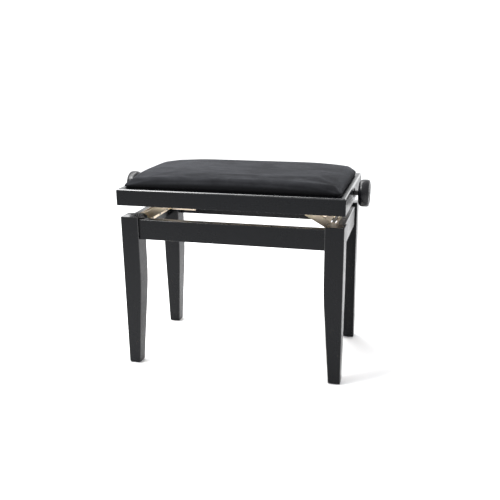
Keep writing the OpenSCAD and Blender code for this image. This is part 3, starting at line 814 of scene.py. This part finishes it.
def core(place, half_x, half_y):
    """The nearest point to a place inside the form's straight-sided middle, in plan."""
    return Vector((
        max(-half_x + CUSHION_ROUND, min(half_x - CUSHION_ROUND, place.x)),
        max(-half_y + CUSHION_ROUND, min(half_y - CUSHION_ROUND, place.y)), place.z,
    ))


def rounded_place(point, half_x, half_y, top):
    """Moves a point of a plain box onto the box with round corners and soft shoulders, which
    are taller than they are wide."""
    inner = core(point, half_x, half_y)
    inner.z = min(top - SHOULDER_HEIGHT, point.z)
    outwards = point - inner
    outwards.z *= CUSHION_ROUND / SHOULDER_HEIGHT
    if outwards.length < SAME_PLACE:
        return point
    outwards = outwards.normalized() * max(abs(part) for part in outwards)
    outwards.z *= SHOULDER_HEIGHT / CUSHION_ROUND
    return inner + outwards


def cushion_form(half_x, half_y, base, top):
    """The pad before it is filled, as points and faces on a grid. The faces of its flat
    underside come last, and their number is given too."""
    xs, ys = grid_lines(half_x), grid_lines(half_y)
    turn = top - SHOULDER_HEIGHT
    zs = [base + (turn - base) * i / SIDE_CELLS for i in range(SIDE_CELLS)]
    zs += [turn + SHOULDER_HEIGHT * i / FINE_CELLS for i in range(FINE_CELLS + 1)]
    numbers, points = {}, []
    frame_top = top - CUSHION_EDGE

    def soften(place):
        """Crowns the top, lets the corners drop, and spreads the lower part over the frame."""
        along, across = abs(place.x) / half_x, abs(place.y) / half_y
        lifted = max(0, (place.z - turn) / SHOULDER_HEIGHT)
        above = eased((place.z - frame_top) / CUSHION_EDGE)
        outwards = place - core(place, half_x, half_y)
        if outwards.length > SAME_PLACE:
            outwards.normalize()
            corner = 2 * abs(outwards.x * outwards.y)
            spread = eased((place.z - frame_top - 0.5 * MM) / (6 * MM)) * (1 - lifted ** 2)
            place += outwards * spread * (OVERHANG + CORNER_OVERHANG * corner)
        inside = max(0, (1 - along ** 2) * (1 - across ** 2))
        place.z += CUSHION_CROWN * inside ** 0.6 * lifted ** 2
        place.z -= CORNER_DROP * along ** 6 * across ** 3 * above
        return place

    def corner(i, j, k):
        if (i, j, k) not in numbers:
            numbers[i, j, k] = len(points)
            place = rounded_place(Vector((xs[i], ys[j], zs[k])), half_x, half_y, top)
            points.append(soften(place))
        return numbers[i, j, k]

    last_x, last_y, last_z = len(xs) - 1, len(ys) - 1, len(zs) - 1
    faces = []
    for i in range(last_x):
        for j in range(last_y):
            faces.append([corner(i, j, last_z), corner(i + 1, j, last_z),
                          corner(i + 1, j + 1, last_z), corner(i, j + 1, last_z)])
    for k in range(last_z):
        for i in range(last_x):
            for j in (0, last_y):
                faces.append([corner(i, j, k), corner(i + 1, j, k),
                              corner(i + 1, j, k + 1), corner(i, j, k + 1)])
        for j in range(last_y):
            for i in (0, last_x):
                faces.append([corner(i, j, k), corner(i, j + 1, k),
                              corner(i, j + 1, k + 1), corner(i, j, k + 1)])
    underside = 0
    for i in range(last_x):
        for j in range(last_y):
            faces.append([corner(i, j, 0), corner(i + 1, j, 0),
                          corner(i + 1, j + 1, 0), corner(i, j + 1, 0)])
            underside += 1
    return points, faces, underside


def fill(piece, held_below):
    """Fills the pad by cloth simulation, with what lies below a height held still. The tight
    cover takes up only a share of the simulated movement, evened out and capped."""
    start = [vertex.co.copy() for vertex in piece.data.vertices]
    group = piece.vertex_groups.new(name="held")
    group.add([i for i, p in enumerate(start) if p.z < held_below], 1.0, "REPLACE")
    cloth = piece.modifiers.new("cloth", "CLOTH")
    settings = cloth.settings
    settings.quality = 7
    settings.mass = 0.25
    settings.tension_stiffness = settings.compression_stiffness = 18
    settings.shear_stiffness = 8
    settings.bending_stiffness = 3
    settings.vertex_group_mass = "held"
    settings.use_pressure = True
    settings.uniform_pressure_force = SIM_PRESSURE
    settings.shrink_min = settings.shrink_max = SIM_SHRINK
    settings.effector_weights.gravity = 0
    cloth.collision_settings.use_collision = False
    cloth.point_cache.frame_start, cloth.point_cache.frame_end = 1, SIM_FRAMES
    for number in range(1, SIM_FRAMES + 1):
        bpy.context.scene.frame_set(number)
        bpy.context.view_layer.update()
    mesh = applied(piece)
    moves = [vertex.co - place for vertex, place in zip(mesh.vertices, start)]
    pairs = [tuple(edge.vertices) for edge in mesh.edges]
    for _ in range(EVENING_ROUNDS):
        sums, counts = [move.copy() for move in moves], [1] * len(moves)
        for a, b in pairs:
            sums[a] += moves[b]
            sums[b] += moves[a]
            counts[a] += 1
            counts[b] += 1
        moves = [total / count for total, count in zip(sums, counts)]
    for vertex, place, move in zip(mesh.vertices, start, moves):
        move = move * SWELL_SHARE
        vertex.co = place + (move.normalized() * MOST_SWELL if move.length > MOST_SWELL else move)
    bpy.context.scene.frame_set(1)
    piece.vertex_groups.clear()


PLEAT_ANGLES = (24, 66)
PLEAT_DEPTH = 0.9 * MM
PLEAT_WIDTH = math.radians(7)
PLEAT_HEIGHT = 17 * MM


def pleat(place, half_x, half_y, frame_top):
    """How far a small pleat takes a point of an upright corner inwards."""
    over = Vector((abs(place.x) - half_x + CUSHION_ROUND, abs(place.y) - half_y + CUSHION_ROUND))
    if over.x <= 0 or over.y <= 0:
        return 0.0
    angle = math.atan2(over.y, over.x)
    fade = max(0.0, 1 - abs(place.z - frame_top) / PLEAT_HEIGHT)
    folds = sum(math.exp(-((angle - math.radians(a)) / PLEAT_WIDTH) ** 2) for a in PLEAT_ANGLES)
    return PLEAT_DEPTH * folds * fade ** 0.7


def cushion(material):
    """The velvet cushion: filled by cloth simulation, with pleats at its corners and its cover
    drawn down over the edges of the board."""
    low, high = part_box("cushion_cover")
    frame_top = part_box("seat_frame_front")[1].z
    board_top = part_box("seat_board")[1].z
    half_x, half_y = high.x, high.y
    points, faces, underside = cushion_form(
        half_x - CUSHION_SMALLER, half_y - CUSHION_SMALLER, low.z, frame_top + CUSHION_EDGE,
    )
    mesh = new_mesh("cushion_shape", points, faces)
    piece = add_piece("cushion", mesh, material, "black_velvet", "cushion_cover", "cushion_foam")
    fill(piece, board_top + HELD_ABOVE_BOARD)
    shape = bmesh.new()
    shape.from_mesh(piece.data)
    shape.faces.ensure_lookup_table()
    bmesh.ops.delete(shape, geom=shape.faces[-underside:], context="FACES")
    shape.to_mesh(piece.data)
    shape.free()
    piece.modifiers.new("finer", "SUBSURF").levels = 1
    applied(piece)
    for vertex in piece.data.vertices:
        inward = pleat(vertex.co, half_x, half_y, frame_top)
        if inward:
            vertex.co -= inward * Vector((vertex.normal.x, vertex.normal.y, 0))
    line_cover(piece.data, half_x, half_y, board_top + BOARD_GAP)
    piece.data.shade_smooth()
    return piece


def line_cover(mesh, half_x, half_y, board_top):
    """Turns the cover's open lower edge inwards and up to the top of the board, and closes it."""
    shape = bmesh.new()
    shape.from_mesh(mesh)

    def open_edges():
        return [e for e in shape.edges if e.is_boundary]

    def add_ring(move):
        made = bmesh.ops.extrude_edge_only(shape, edges=open_edges())["geom"]
        for vertex in made:
            if isinstance(vertex, bmesh.types.BMVert):
                vertex.co = move(vertex.co)

    def inwards(place):
        return place - (place - core(place, half_x, half_y)).normalized() * COVER_THICKNESS

    add_ring(inwards)
    add_ring(lambda place: Vector((place.x, place.y, board_top)))
    bmesh.ops.holes_fill(shape, edges=open_edges(), sides=0)
    bmesh.ops.recalc_face_normals(shape, faces=shape.faces)
    shape.to_mesh(mesh)
    shape.free()


# ---- the whole bench -----------------------------------------------------------------------

def make_bench():
    wood = [lacquer(X), lacquer(Y), lacquer(Z)]
    for end in ENDS:
        for side in SIDES:
            leg(end, side, wood[Z])
    for node, sign in ENDS.items():
        rail("rail_" + node, X, wood[X])
        moulding("seat_frame_" + node, X, sign, wood[X])
    for node, sign in SIDES.items():
        rail("rail_" + node, Y, wood[Y])
        moulding("seat_frame_" + node, Y, sign, wood[Y])
    plated, black = yellow_zinc(), black_steel()
    bright, dull = zinc("zinc", 0.55), zinc("dull_zinc", 0.22)
    knob_plastic = moulded("knob_plastic", 0.24, 0.32, (0.003, 0.003, 0.004))
    nylon = moulded("nylon", 0.42, 0.55, (0.008, 0.008, 0.009))
    for side in SIDES:
        knob(side, knob_plastic)
        for part in ("upper_bracket", "lower_bracket", "lift_arm", "link"):
            softened(f"{part}_{side}", plated, "yellow_zinc_steel", 0.35 * MM, folded=True)
        for part in ("base_pin", "centre_pin", "seat_studs", "nut_bar"):
            softened(f"{part}_{side}", dull, "zinc_steel", 0.4 * MM)
        refinish("nut_clips_" + side, bright)
        softened("spindle_bush_" + side, nylon, "glide_plastic", 0.25 * MM)
    softened("spindle_collars", black, "black_steel", 0.4 * MM)
    for node in ("spindle", "collar_screws"):
        refinish(node, black)
    for node in ("upper_bracket_screws", "seat_board_screws", "knob_screws"):
        refinish(node, bright)
    refinish("lower_bracket_screws", dull)
    refinish("floor_glides", nylon)
    refinish("knob_caps", knob_plastic)
    timber = beech()
    refinish("rail_dowels", timber)
    softened("seat_corner_blocks", timber, "beech", 0.8 * MM)
    softened("seat_board", plywood(), "plywood", 0.5 * MM)
    cushion(velvet())


make_studio()
make_bench()
